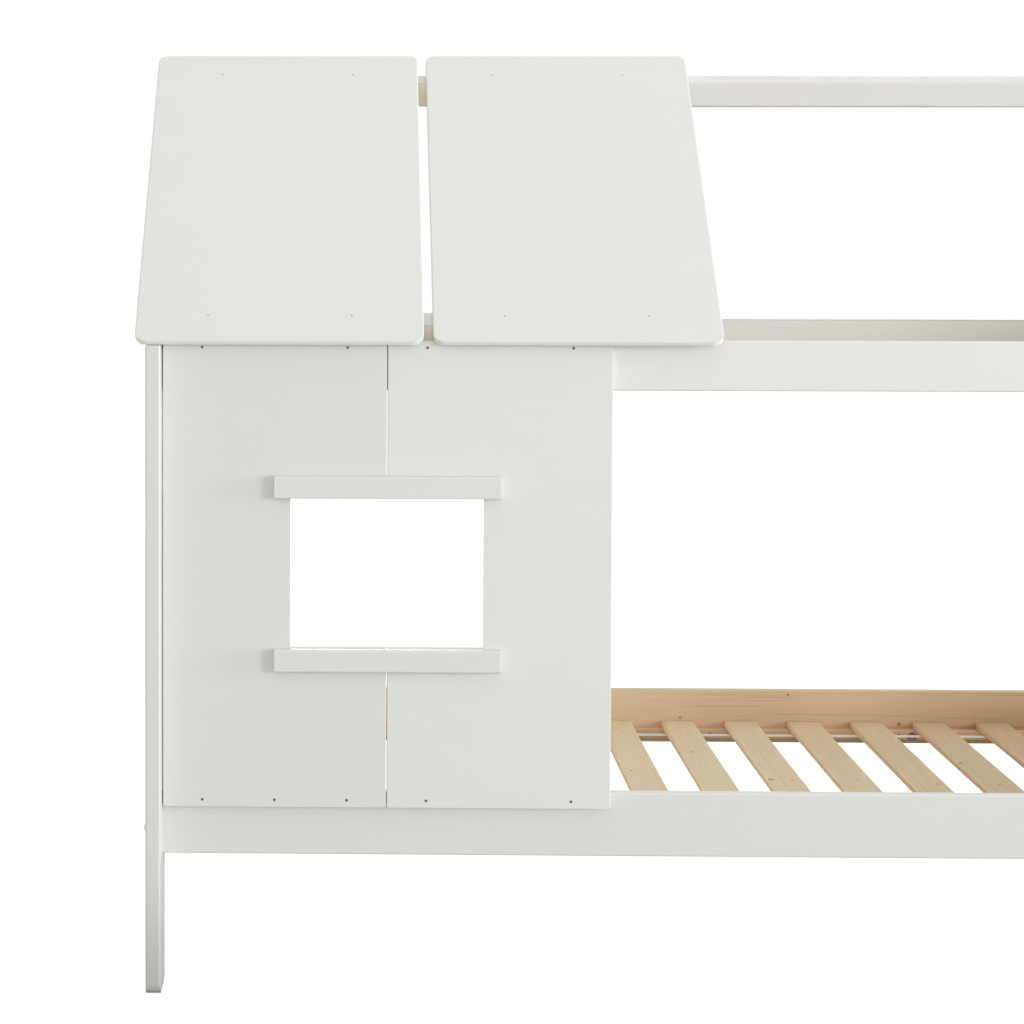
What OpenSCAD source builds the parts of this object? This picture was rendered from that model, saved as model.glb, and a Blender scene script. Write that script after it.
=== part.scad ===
// House-shaped child's bed for a 90 x 200 cm mattress.
// Two gable end frames carry the side rails, the eaves beams and the ridge beam.
// X runs along the bed from its left end, Y from the front to the rear, Z up from the floor.

/* [Bed] */
// Length of the mattress space, between the inner faces of the legs
mattress_l = 2006; // [1706:10:2206]
// Width of the mattress space, between the side rails
mattress_w = 906; // [806:10:1206]
// Height of the slats' top face above the floor
slat_top_z = 290; // [270:5:330]

/* [Legs] */
// Leg thickness along the bed
leg_t = 27; // [24:1:36]
// Leg depth across the bed
leg_d = 95; // [94:1:120]
// Radius of the leg's bottom corners, seen from the end of the bed
foot_r = 22; // [5:1:30]
// Rounding of the legs' soles, seen from the front of the bed
sole_r = 4; // [1:0.5:6]
// Rounding of the legs' long edges
leg_edge_r = 3.5; // [2:0.5:6]

/* [Rails] */
// Side rail and end rail thickness
rail_t = 20; // [18:1:22]
// Side rail and end rail height
rail_h = 115; // [105:5:140]
// Underside of the rails above the floor
rail_z = 243; // [215:1:245]
// Rounding of the rails' and beams' long edges
edge_r = 3; // [1:0.5:4]
// Width of the square cleat that carries the slats
cleat_w = 20; // [16:1:22]
// Free gap between a cleat's end and the leg
cleat_play = 3; // [1:1:10]

/* [Slats] */
// Slat width
slat_w = 70; // [50:1:80]
// Slat thickness
slat_t = 15; // [12:1:18]
// Rounding of the slats' long edges
slat_edge_r = 4; // [1:0.5:4]
// Number of slats
slat_n = 14; // [12:1:16]
// Free space between the left end and the first slat
slat_start = 58; // [40:1:100]
// Free space between the last slat and the right end
slat_end = 105; // [40:1:140]
// Free space between a slat's end and the side rail
slat_play = 3; // [1:0.5:5]
// Width of the ribbons that hold the slats apart
ribbon_w = 20; // [12:1:25]
// Thickness of the ribbons
ribbon_t = 1; // [0.6:0.1:2]
// Distance from a slat's end to the ribbon
ribbon_inset = 60; // [40:5:150]

/* [Walls] */
// Front of the leg to the front of the wall panels
panel_setback = 34; // [25:1:40]
// Wall panel thickness
panel_t = 18; // [15:1:20]
// Width of one wall panel
panel_w = 398; // [360:2:430]
// Underside of the wall panels above the floor
panel_z = 333; // [325:1:340]
// Free gap between the leg and the first panel
panel_end_gap = 2; // [1:0.5:6]
// Free gap between the two panels
panel_joint = 1.5; // [0.5:0.5:3]
// Corner radius of the panels' outline
panel_corner_r = 5; // [2:1:10]
// Rounding of the panels' upright edges
panel_edge_r = 1.5; // [1:0.5:3]
// Top of the wall panels and of the eaves beams above the floor
eaves_z = 1167; // [1120:1:1250]

/* [Window] */
// Width of the window opening
window_w = 344; // [200:2:360]
// Height of the window opening
window_h = 269; // [180:1:320]
// Sill of the window opening above the floor
window_z = 618; // [560:1:680]
// Length of the window trims
trim_l = 400; // [380:2:440]
// Height of the window trims
trim_h = 40; // [30:1:50]
// Thickness of the window trims
trim_t = 18; // [12:1:20]

/* [Roof] */
// Thickness of the eaves beams and the ridge beam
beam_t = 27; // [24:1:32]
// Height of the eaves beams
eaves_beam_h = 89; // [70:1:100]
// Height of the ridge beam, up to its point
ridge_h = 60; // [50:1:80]
// Slope of the roof in degrees
roof_slope = 45; // [40:1:50]
// Width of a rafter, square to its slope
rafter_w = 50; // [40:1:52]
// Distance of the batten's right end from the edge of the roof boards
batten_end_in = 12; // [5:1:30]
// Thickness of the batten on the front eaves beam
batten_t = 20; // [16:1:20]
// Height of the batten's front face
batten_front_h = 27.5; // [24:0.5:30]
// Front of the eaves beam to the front of the batten
batten_setback = 3.5; // [3:0.5:5]
// Roof board thickness
board_t = 12; // [10:1:14]
// Roof board width, along the bed
board_w = 512; // [480:2:540]
// Reach of the roof boards up the slope past the ridge's point
ridge_reach = 47; // [30:1:60]
// Rounding of the roof boards' edges
board_edge_r = 3; // [1:0.5:4]
// Free gap between the two roof boards
board_gap = 16; // [8:1:24]
// Overhang of the roof boards beyond the end frame
gable_overhang = 20; // [5:1:40]
// Reach of the roof boards down the slope past the batten's front face
eaves_reach = 51; // [46:1:60]
// Corner radius of the roof boards
board_corner_r = 22; // [5:1:25]

/* [Fasteners] */
// Diameter of the connector bolts
bolt_d = 6; // [5:1:8]
// Diameter of the bolt heads
bolt_head_d = 14; // [12:1:15]
// Thickness of the bolt heads
bolt_head_h = 4; // [3:0.5:5]
// Reach of the connector bolts past the leg
bolt_reach = 50; // [46:1:70]
// Distance from the leg to the middle of the barrel nut
nut_reach = 40; // [30:1:42]
// Diameter of the barrel nuts
nut_d = 10; // [9:0.5:12]
// Length of the barrel nuts
nut_l = 14; // [10:1:15]
// Diameter of the bolt caps
cap_d = 20; // [18:1:24]
// Height of the domed bolt caps
cap_h = 8; // [6:0.5:12]
// Height of the caps' straight rim
cap_rim = 2; // [1:0.5:3]
// Depth of the beam bolts' heads in the leg, beyond their own thickness
bolt_head_in = 0.5; // [0.5:0.5:3]
// Height of the rail bolts above the rail's underside
rail_bolt_up = 45; // [42:1:50]
// Depth of the beam bolts below the leg's top
beam_bolt_down = 40; // [36:1:46]
// Diameter of the dowels
dowel_d = 8; // [6:1:8]
// Length of the dowels
dowel_l = 40; // [30:2:40]
// Distance of the dowels from the upper and lower edges of the rails and ties
dowel_in = 28; // [26:1:29]
// Depth of the eaves beams' dowels below the leg's top
beam_dowel_down = 18; // [14:1:19]
// Distance of the rafter's dowel from the tip of its foot
rafter_dowel_in = 31; // [25:1:35]
// Distance of the batten's last dowel from its right end
batten_dowel_in = 60; // [40:1:100]
// Diameter of the wood screws
screw_d = 4; // [3:0.5:5]
// Diameter of the wood screws' heads
screw_head_d = 7; // [7:0.5:9]
// Diameter of the wood screws' points
screw_tip_d = 0.8; // [0.4:0.1:1.2]
// Share of the carrying piece's thickness that a wood screw reaches into
screw_bite = 0.7; // [0.5:0.05:0.7]
// Reach of the ridge screws past the rafters
ridge_screw_reach = 53; // [40:1:60]
// Distance of the roof screws from the roof board's side edges
roof_screw_side = 128; // [100:1:160]
// Distance of the wall screws from the panel's side edges
wall_screw_side = 70; // [40:1:100]
// Distance of the wall screws from the panel's upper and lower edges
wall_screw_in = 12.5; // [9:0.5:15]
// Distance of the lower roof screws from the roof board's lower edge
roof_screw_in = 62; // [60:1:64]
// Distance of the outer trim screws from the trim's ends
trim_screw_end = 40; // [30:1:60]
// Distance of the inner trim screws from the joint of the wall panels
trim_screw_mid = 60; // [40:1:80]

/* [Hidden] */
$fn = 48;
eps = 1;
fit = 0.3;
dowel_fit = 0.1;

bed_l = mattress_l + 2 * leg_t;
panel_y = panel_setback;
rail_y = panel_y + panel_t;
rail_in_y = rail_y + rail_t;
bed_d = mattress_w + 2 * rail_in_y;
mid_y = bed_d / 2;

panel_x = leg_t + panel_end_gap;
window_mid_x = panel_x + panel_w + panel_joint / 2;
panel_h = eaves_z - panel_z;
cleat_z = slat_top_z - slat_t - cleat_w;
slat_pitch = (mattress_l - slat_start - slat_end - slat_w) / (slat_n - 1);
slat_l = mattress_w - 2 * slat_play;
slat_y = rail_in_y + slat_play;

// The roof boards' underside is one sloped plane: z = roof_z(y). The ridge's point lies on it.
batten_y = rail_y + batten_setback;
function roof_z(y) = eaves_z + batten_front_h + (y - batten_y) * tan(roof_slope);
ridge_z = roof_z(mid_y);
board_low_y = batten_y - eaves_reach * cos(roof_slope);
board_low_z = roof_z(board_low_y);
board_l = (mid_y - board_low_y) / cos(roof_slope) + ridge_reach;
leg_h = board_low_z - fit;
roof_x = -gable_overhang;
roof_end_x = roof_x + 2 * board_w + board_gap;
batten_end_x = roof_end_x - batten_end_in;
tie_z = leg_h - eaves_beam_h;
rafter_foot_y = mid_y - (ridge_z - leg_h) / tan(roof_slope);

rail_bolt_y = rail_y + rail_t / 2;
rail_bolt_z = rail_z + rail_bolt_up;
rail_dowel_z = rail_z + rail_h - dowel_in;
beam_bolt_y = rail_y + beam_t / 2;
beam_bolt_z = leg_h - beam_bolt_down;
beam_dowel_z = leg_h - beam_dowel_down;
end_rail_x = leg_t - rail_t / 2;
end_dowel_z = [rail_z + dowel_in, rail_dowel_z, tie_z + dowel_in, leg_h - dowel_in];
rafter_dowel_y = rafter_foot_y + rafter_dowel_in;
bolt_bore_d = bolt_d + 2 * fit;
sink = bolt_head_h + bolt_head_in;
ridge_screw_up = ridge_h / 2;
ridge_screw_off = beam_t / 4;
ridge_screw_l = leg_t + ridge_screw_reach;
wall_screw_l = panel_t + screw_bite * rail_t;
roof_screw_l = board_t + screw_bite * batten_t;
cleat_screw_l = cleat_w + screw_bite * rail_t;
slat_screw_l = slat_t + screw_bite * cleat_w;
trim_screw_l = panel_t + screw_bite * trim_t;

// The batten's dowels stand over the first panel's middle, the panels' joint, the wall's end and its own end.
batten_dowel_x = [
    panel_x + panel_w / 2, window_mid_x, window_mid_x + panel_joint / 2 + panel_w,
    batten_end_x - batten_dowel_in
];

// The cleats are screwed in every third gap between slats, and beyond the outer slats.
slat_end_x = bed_l - leg_t - slat_end;
cleat_screw_x = concat(
    [leg_t + slat_start / 2, slat_end_x + slat_end / 2],
    [for (i = [1:3:slat_n - 2]) slat_x(i) + (slat_w + slat_pitch) / 2]
);

// The whole bed is drawn about the middle of its outer box, standing on the floor.
origin_x = (min(roof_x, -cap_h) + bed_l + cap_h) / 2;

paint = [0.93, 0.93, 0.91];
pine = [0.87, 0.72, 0.53];
steel = [0.72, 0.73, 0.75];

slat_names = [for (i = [1:slat_n]) str("slat_", i < 10 ? "0" : "", i)];

// Places children at the bed's right end instead of the left one, or at its rear instead of its front.
module at_right(on) {
    if (on) translate([bed_l, 0, 0]) mirror([1, 0, 0]) children();
    else children();
}

module at_rear(on) {
    if (on) translate([0, bed_d, 0]) mirror([0, 1, 0]) children();
    else children();
}

module at_four_corners() {
    for (right = [false, true], rear = [false, true]) at_right(right) at_rear(rear) children();
}

// Rectangle from the origin with round corners.
module round_rect(w, h, r) {
    translate([r, 0]) square([w - 2 * r, h]);
    translate([0, r]) square([w, h - 2 * r]);
    for (x = [r, w - r], y = [r, h - r]) translate([x, y]) circle(r);
}

// Board along X from the origin, with its long edges rounded.
module board_x(l, d, h, r) {
    rotate([90, 0, 90]) linear_extrude(l) round_rect(d, h, r);
}

module board_y(l, d, h, r) {
    translate([d, 0, 0]) rotate([0, 0, 90]) board_x(l, d, h, r);
}

// Panel with the given outline standing in the XZ plane, its front face at y = 0.
module upright(t) {
    translate([0, t, 0]) rotate([90, 0, 0]) linear_extrude(t) children();
}

module cyl_x(d, l) { rotate([0, 90, 0]) cylinder(d = d, h = l); }
module cyl_y(d, l) { rotate([-90, 0, 0]) cylinder(d = d, h = l); }

// Dowels are centred on the joint between two pieces; grow is the clearance of their holes.
module dowel(grow = 0) {
    cylinder(d = dowel_d + 2 * grow, h = dowel_l + 4 * grow, center = true);
}
module dowel_x(grow = 0) { rotate([0, 90, 0]) dowel(grow); }
module dowel_y(grow = 0) { rotate([90, 0, 0]) dowel(grow); }

module side_dowels_at_leg(grow = 0) {
    translate([leg_t, rail_bolt_y, rail_dowel_z]) dowel_x(grow);
    translate([leg_t, beam_bolt_y, beam_dowel_z]) dowel_x(grow);
}

module end_dowels_at_leg(grow = 0) {
    for (z = end_dowel_z) translate([end_rail_x, leg_d, z]) dowel_y(grow);
    translate([leg_t / 2, rafter_dowel_y, leg_h]) dowel(grow);
}

module batten_dowels_all(grow = 0) {
    for (x = batten_dowel_x) translate([x, batten_y + batten_t / 2, eaves_z]) dowel(grow);
}

// Holes for one connector bolt along X through the leg into a rail or beam, and for its barrel nut.
module bolt_bore(y, z) {
    translate([-eps, y, z]) cyl_x(bolt_bore_d, leg_t + bolt_reach + 2 * eps);
}

module nut_bore(y, z) {
    translate([leg_t + nut_reach, y - nut_l / 2 - fit, z]) cyl_y(nut_d + 2 * dowel_fit, beam_t + nut_l);
}

// Countersunk wood screw: its head's face at z = 0, its point down.
module screw(l, grow = 0) {
    head_h = (screw_head_d - screw_d) / 2;
    translate([0, 0, -head_h - grow])
        cylinder(d1 = screw_d + 2 * grow, d2 = screw_head_d + 2 * grow, h = head_h + grow);
    translate([0, 0, -l + screw_d - grow]) cylinder(d = screw_d + 2 * grow, h = l - screw_d - head_h + grow);
    translate([0, 0, -l - grow]) cylinder(d1 = screw_tip_d + 2 * grow, d2 = screw_d + 2 * grow, h = screw_d);
}

// Screw with a cross recess in its head.
module crosshead(l) {
    slot_w = screw_d / 4;
    slot_h = 0.4 * (screw_head_d - screw_d);
    difference() {
        screw(l);
        for (a = [0, 90]) rotate([0, 0, a])
            translate([-screw_d / 2, -slot_w / 2, -slot_h]) cube([screw_d, slot_w, slot_h + eps]);
    }
}

module wall_screws_at(grow = -1) {
    rows = [panel_z + wall_screw_in, eaves_z - wall_screw_in];
    for (i = [0, 1], x = [wall_screw_side, panel_w - wall_screw_side], z = rows)
        translate([wall_panel_x(i) + x, panel_y, z]) rotate([90, 0, 0]) screw_or_bore(wall_screw_l, grow);
    translate([panel_x + panel_w / 2, panel_y, panel_z + wall_screw_in])
        rotate([90, 0, 0]) screw_or_bore(wall_screw_l, grow);
}

// A negative clearance asks for the screw itself, any other for its hole.
module screw_or_bore(l, grow) {
    if (grow < 0) crosshead(l);
    else union() {
        screw(l, grow);
        cylinder(d = screw_head_d + 2 * grow, h = 2 * eps);
    }
}

module trim_screws_at(z, grow = -1) {
    for (side = [-1, 1], x = [trim_screw_mid, trim_l / 2 - trim_screw_end])
        translate([window_mid_x + side * x, rail_y, z]) rotate([-90, 0, 0]) screw_or_bore(trim_screw_l, grow);
}

module cleat_screws_at(grow = -1) {
    for (x = cleat_screw_x) translate([x, rail_in_y + cleat_w, cleat_z + cleat_w / 2])
        rotate([-90, 0, 0]) screw_or_bore(cleat_screw_l, grow);
}

module slat_screws_at(i, grow = -1) {
    for (rear = [false, true]) at_rear(rear)
        translate([slat_x(i) + slat_w / 2, rail_in_y + cleat_w / 2, slat_top_z])
            screw_or_bore(slat_screw_l, grow);
}

module ridge_screws_at(grow = -1) {
    for (s = [-1, 1]) translate([0, mid_y + s * ridge_screw_off, ridge_z - ridge_screw_up])
        rotate([0, -90, 0]) screw_or_bore(ridge_screw_l, grow);
}

// Roof frame of reference: X along the bed, Y up the slope from the boards' lower edge, Z out of the roof.
module on_roof() {
    translate([0, board_low_y, board_low_z]) rotate([roof_slope, 0, 0]) children();
}

module roof_screws_at(i, grow = -1) {
    ridge_row = (mid_y - beam_t / 4 - board_low_y) / cos(roof_slope);
    for (x = [roof_screw_side, board_w - roof_screw_side], y = [roof_screw_in, ridge_row])
        on_roof() translate([roof_board_x(i) + x, y, board_t]) screw_or_bore(roof_screw_l, grow);
}

function slat_x(i) = leg_t + slat_start + i * slat_pitch;
function roof_board_x(i) = roof_x + i * (board_w + board_gap);
function wall_panel_x(i) = panel_x + i * (panel_w + panel_joint);

// Outline of a leg from the floor to its top, with only its bottom corners round.
module leg_outline(w, r) {
    round_rect(w, leg_h, r);
    translate([0, r]) square([w, leg_h - r]);
}

// Leg with rounded long edges, foot corners and sole, bored for its rails, beam and rafter.
module leg(right, rear) {
    color(paint) at_right(right) at_rear(rear) difference() {
        intersection() {
            linear_extrude(leg_h) round_rect(leg_t, leg_d, leg_edge_r);
            rotate([90, 0, 90]) linear_extrude(leg_t) leg_outline(leg_d, foot_r);
            upright(leg_d) leg_outline(leg_t, sole_r);
        }
        bolt_bore(rail_bolt_y, rail_bolt_z);
        bolt_bore(beam_bolt_y, beam_bolt_z);
        translate([-eps, beam_bolt_y, beam_bolt_z]) cyl_x(bolt_head_d + 2 * fit, sink + eps);
        side_dowels_at_leg(dowel_fit);
        end_dowels_at_leg(dowel_fit);
    }
}

// Cross rail between the two legs of an end frame, dowelled to both.
module end_cross_rail(right, z, h) {
    color(paint) at_right(right) difference() {
        translate([leg_t - rail_t, leg_d, z]) board_y(bed_d - 2 * leg_d, rail_t, h, edge_r);
        for (rear = [false, true]) at_rear(rear) end_dowels_at_leg(dowel_fit);
    }
}

module end_rail(right) { end_cross_rail(right, rail_z, rail_h); }
module gable_tie(right) { end_cross_rail(right, tie_z, eaves_beam_h); }

// Rafter from the leg's top to the ridge, its long edges rounded: level foot, plumb cut at the ridge.
module rafter(right, rear) {
    run = mid_y - rafter_foot_y;
    rise = ridge_z - leg_h;
    color(paint) at_right(right) at_rear(rear) difference() {
        translate([0, rafter_foot_y, leg_h]) intersection() {
            rotate([roof_slope, 0, 0]) translate([0, 0, -rafter_w])
                board_y(rise / sin(roof_slope) + eps, leg_t, rafter_w, edge_r);
            translate([-eps, 0, 0]) cube([leg_t + 2 * eps, run, rise + eps]);
        }
        end_dowels_at_leg(dowel_fit);
        ridge_screws_at(dowel_fit);
    }
}

module side_rail(rear) {
    color(paint) at_rear(rear) difference() {
        translate([leg_t, rail_y, rail_z]) board_x(mattress_l, rail_t, rail_h, edge_r);
        for (right = [false, true]) at_right(right) {
            bolt_bore(rail_bolt_y, rail_bolt_z);
            nut_bore(rail_bolt_y, rail_bolt_z);
            side_dowels_at_leg(dowel_fit);
        }
        cleat_screws_at(dowel_fit);
        if (!rear) wall_screws_at(dowel_fit);
    }
}

module slat_cleat(rear) {
    color(pine) at_rear(rear) difference() {
        translate([leg_t + cleat_play, rail_in_y, cleat_z])
            board_x(mattress_l - 2 * cleat_play, cleat_w, cleat_w, edge_r / 2);
        cleat_screws_at(dowel_fit);
        for (i = [0, slat_n - 1]) slat_screws_at(i, dowel_fit);
    }
}

module eaves_beam(rear) {
    color(paint) at_rear(rear) difference() {
        translate([leg_t, rail_y, eaves_z - eaves_beam_h]) board_x(mattress_l, beam_t, eaves_beam_h, edge_r);
        for (right = [false, true]) at_right(right) {
            bolt_bore(beam_bolt_y, beam_bolt_z);
            nut_bore(beam_bolt_y, beam_bolt_z);
            side_dowels_at_leg(dowel_fit);
        }
        if (!rear) {
            batten_dowels_all(dowel_fit);
            wall_screws_at(dowel_fit);
        }
    }
}

// Ridge beam whose top is bevelled to the roof's slope on both sides, so that the boards lie flat on it.
module ridge_beam() {
    drop = beam_t * tan(roof_slope);
    color(paint) difference() {
        translate([leg_t, mid_y, ridge_z]) rotate([90, 0, 90]) linear_extrude(mattress_l) intersection() {
            translate([-beam_t / 2, -ridge_h]) round_rect(beam_t, ridge_h + 2 * edge_r, edge_r);
            polygon([
                [0, 0], [beam_t, -drop], [beam_t, -ridge_h - eps],
                [-beam_t, -ridge_h - eps], [-beam_t, -drop]
            ]);
        }
        for (right = [false, true]) at_right(right) ridge_screws_at(dowel_fit);
        for (i = [0, 1]) roof_screws_at(i, dowel_fit);
    }
}

// Batten on the front eaves beam, bevelled to the roof's slope under the boards' lower screws.
module roof_batten() {
    color(paint) difference() {
        translate([panel_x, 0, 0]) rotate([90, 0, 90]) linear_extrude(batten_end_x - panel_x) polygon([
            [batten_y, eaves_z], [batten_y + batten_t, eaves_z],
            [batten_y + batten_t, roof_z(batten_y + batten_t)], [batten_y, roof_z(batten_y)]
        ]);
        batten_dowels_all(dowel_fit);
        for (i = [0, 1]) roof_screws_at(i, dowel_fit);
    }
}

// Roof board with rounded corners and eased edges, screwed to the ridge beam and the batten.
module roof_board(i) {
    color(paint) difference() {
        on_roof() translate([roof_board_x(i), 0, 0]) intersection() {
            linear_extrude(board_t) round_rect(board_w, board_l, board_corner_r);
            board_x(board_w, board_l, board_t, board_edge_r);
            board_y(board_l, board_w, board_t, board_edge_r);
        }
        roof_screws_at(i, dowel_fit);
    }
}

// Wall panel whose inner edge is notched for half of the window.
module wall_panel(i) {
    notch = (window_w - panel_joint) / 2;
    color(paint) difference() {
        translate([wall_panel_x(i), panel_y, 0]) intersection() {
            upright(panel_t) difference() {
                translate([0, panel_z]) round_rect(panel_w, panel_h, panel_corner_r);
                translate([i == 0 ? panel_w - notch : -eps, window_z]) square([notch + eps, window_h]);
            }
            linear_extrude(eaves_z + eps) round_rect(panel_w, panel_t, panel_edge_r);
        }
        wall_screws_at(dowel_fit);
        for (z = [window_z - trim_h / 2, window_z + window_h + trim_h / 2]) trim_screws_at(z, dowel_fit);
    }
}

module window_trim(z) {
    color(paint) difference() {
        translate([window_mid_x - trim_l / 2, panel_y - trim_t, z]) board_x(trim_l, trim_t, trim_h, edge_r);
        trim_screws_at(z + trim_h / 2, dowel_fit);
    }
}

module window_head_trim() { window_trim(window_z + window_h); }
module window_sill_trim() { window_trim(window_z - trim_h); }

module slat(i) {
    color(pine) difference() {
        translate([slat_x(i), slat_y, slat_top_z - slat_t]) board_y(slat_l, slat_w, slat_t, slat_edge_r);
        if (i == 0 || i == slat_n - 1) slat_screws_at(i, dowel_fit);
    }
}

module slat_ribbons() {
    color("white") for (rear = [false, true]) at_rear(rear)
        translate([slat_x(0), slat_y + ribbon_inset, slat_top_z - slat_t - ribbon_t])
            cube([slat_end_x - slat_x(0), ribbon_w, ribbon_t]);
}

// Connector bolt along X with a hexagon socket; its head rests on x = 0.
module bolt_x(l) {
    socket_d = 0.75 * bolt_d;
    socket_h = 0.6 * bolt_head_h;
    difference() {
        union() {
            translate([-bolt_head_h, 0, 0]) cyl_x(bolt_head_d, bolt_head_h);
            cyl_x(bolt_d, l);
        }
        translate([-bolt_head_h - eps, 0, 0]) rotate([0, 90, 0])
            cylinder(d = socket_d, h = socket_h + eps, $fn = 6);
    }
}

module rail_bolts() {
    color(steel) at_four_corners() translate([0, rail_bolt_y, rail_bolt_z]) bolt_x(leg_t + bolt_reach);
}

module beam_bolts() {
    color(steel) at_four_corners()
        translate([sink, beam_bolt_y, beam_bolt_z]) bolt_x(leg_t + bolt_reach - sink);
}

// Domed cap over a rail bolt's head.
module rail_bolt_caps() {
    r = cap_d / 2;
    dome_h = cap_h - cap_rim;
    dome_r = (r * r + dome_h * dome_h) / (2 * dome_h);
    color(paint) at_four_corners() translate([0, rail_bolt_y, rail_bolt_z]) rotate([0, -90, 0]) difference() {
        intersection() {
            cylinder(d = cap_d, h = cap_h);
            translate([0, 0, cap_h - dome_r]) sphere(dome_r);
        }
        translate([0, 0, -eps]) cylinder(d = bolt_head_d + fit, h = bolt_head_h + fit + eps);
    }
}

module barrel_nuts() {
    color(steel) at_four_corners() for (p = [[rail_bolt_y, rail_bolt_z], [beam_bolt_y, beam_bolt_z]])
        difference() {
            translate([leg_t + nut_reach, p[0] - nut_l / 2, p[1]]) cyl_y(nut_d, nut_l);
            translate([leg_t, p[0], p[1]]) cyl_x(bolt_d + 2 * dowel_fit, 2 * nut_reach);
        }
}

module side_dowels() { color(pine) at_four_corners() side_dowels_at_leg(); }
module end_dowels() { color(pine) at_four_corners() end_dowels_at_leg(); }
module batten_dowels() { color(pine) batten_dowels_all(); }

module ridge_screws() { color(steel) for (right = [false, true]) at_right(right) ridge_screws_at(); }
module roof_screws() { color(steel) for (i = [0, 1]) roof_screws_at(i); }
module wall_screws() { color(steel) wall_screws_at(); }
module trim_screws() {
    color(steel) for (z = [window_z - trim_h / 2, window_z + window_h + trim_h / 2]) trim_screws_at(z);
}
module cleat_screws() { color(steel) for (rear = [false, true]) at_rear(rear) cleat_screws_at(); }
module slat_screws() { color(steel) for (i = [0, slat_n - 1]) slat_screws_at(i); }

// Moves a piece from the bed's front left corner to the middle of the outer box.
module placed() {
    translate([-origin_x, -mid_y, 0]) children();
}

placed() leg(false, false);  // leg_front_left
placed() leg(false, true);  // leg_rear_left
placed() leg(true, false);  // leg_front_right
placed() leg(true, true);  // leg_rear_right
placed() end_rail(false);  // end_rail_left
placed() end_rail(true);  // end_rail_right
placed() gable_tie(false);  // gable_tie_left
placed() gable_tie(true);  // gable_tie_right
placed() rafter(false, false);  // rafter_front_left
placed() rafter(false, true);  // rafter_rear_left
placed() rafter(true, false);  // rafter_front_right
placed() rafter(true, true);  // rafter_rear_right
placed() side_rail(false);  // side_rail_front
placed() side_rail(true);  // side_rail_rear
placed() slat_cleat(false);  // slat_cleat_front
placed() slat_cleat(true);  // slat_cleat_rear
placed() eaves_beam(false);  // eaves_beam_front
placed() eaves_beam(true);  // eaves_beam_rear
placed() ridge_beam();
placed() roof_batten();
placed() roof_board(0);  // roof_board_left
placed() roof_board(1);  // roof_board_right
placed() wall_panel(0);  // wall_panel_left
placed() wall_panel(1);  // wall_panel_right
placed() window_head_trim();
placed() window_sill_trim();
placed() slat_ribbons();
placed() rail_bolts();
placed() rail_bolt_caps();
placed() beam_bolts();
placed() barrel_nuts();
placed() side_dowels();
placed() end_dowels();
placed() batten_dowels();
placed() ridge_screws();
placed() roof_screws();
placed() wall_screws();
placed() trim_screws();
placed() cleat_screws();
placed() slat_screws();
for (i = [0:slat_n - 1]) placed() slat(i);
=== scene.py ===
import math

import bpy
from mathutils import Matrix, Vector


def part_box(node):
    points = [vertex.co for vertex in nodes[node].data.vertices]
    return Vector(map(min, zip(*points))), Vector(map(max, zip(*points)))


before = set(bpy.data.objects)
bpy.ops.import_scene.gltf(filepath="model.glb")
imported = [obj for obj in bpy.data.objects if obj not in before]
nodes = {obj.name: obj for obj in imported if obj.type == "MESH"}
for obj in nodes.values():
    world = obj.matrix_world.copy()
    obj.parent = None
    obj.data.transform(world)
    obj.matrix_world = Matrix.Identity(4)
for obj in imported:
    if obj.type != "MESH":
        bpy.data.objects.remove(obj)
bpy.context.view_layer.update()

# Studio. The bed stands on a plain white floor that runs into a white surround. One large soft lamp stands
# to the right of the camera, and even daylight comes from far to the right. Weaker lamps stand behind the
# camera, behind the bed, to its left and above it. The floor is clear from below and under the soles.
scene = bpy.context.scene
scene.view_settings.view_transform = "Standard"

PHOTO_SIDE = 1024
CAMERA_FOCAL_PX = 2339.98
CAMERA_AXIS_PX = (308.88, 311.54)
CAMERA_PLACE = (-0.6522, -4.6305, 1.3802)
CAMERA_YAW = -0.0202
CAMERA_PITCH = -0.0391
CAMERA_ROLL = 0.0018

camera_data = bpy.data.cameras.new("camera")
camera_data.sensor_width = 36.0
camera_data.lens = camera_data.sensor_width * CAMERA_FOCAL_PX / PHOTO_SIDE
camera_data.shift_x = 0.5 - CAMERA_AXIS_PX[0] / PHOTO_SIDE
camera_data.shift_y = CAMERA_AXIS_PX[1] / PHOTO_SIDE - 0.5
camera = bpy.data.objects.new("camera", camera_data)
camera.matrix_world = (
    Matrix.Translation(CAMERA_PLACE)
    @ Matrix.Rotation(-CAMERA_YAW, 4, "Z")
    @ Matrix.Rotation(math.pi / 2 + CAMERA_PITCH, 4, "X")
    @ Matrix.Rotation(CAMERA_ROLL, 4, "Z")
)
scene.collection.objects.link(camera)
scene.camera = camera


def lamp(name, place, target, size, watts, color):
    """A square soft light aimed at a point of the bed."""
    data = bpy.data.lights.new(name, "AREA")
    data.size = size
    data.energy = watts
    data.color = color
    light = bpy.data.objects.new(name, data)
    aim = Vector(target) - Vector(place)
    light.matrix_world = Matrix.Translation(place) @ aim.to_track_quat("-Z", "Y").to_matrix().to_4x4()
    light.visible_camera = False
    scene.collection.objects.link(light)


lamp("key_lamp", (6.6, -6.2, 1.95), (-0.4, -0.5, 0.9), 2.2, 258.0, (0.94, 0.97, 1.11))
lamp("front_lamp", (-0.6, -7.5, 1.7), (0.0, 0.0, 1.0), 3.0, 54.0, (1.0, 1.0, 1.04))
lamp("rear_lamp", (-1.5, 7.0, 1.3), (0.0, 0.5, 0.8), 3.0, 112.0, (0.97, 0.985, 1.05))
lamp("left_lamp", (-8.0, 1.6, 1.2), (-0.5, 0.2, 0.9), 2.5, 95.0, (0.98, 0.99, 1.05))
lamp("top_lamp", (0.0, 0.0, 5.0), (0.0, 0.0, 1.0), 4.0, 22.5, (1.0, 1.0, 1.0))

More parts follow.
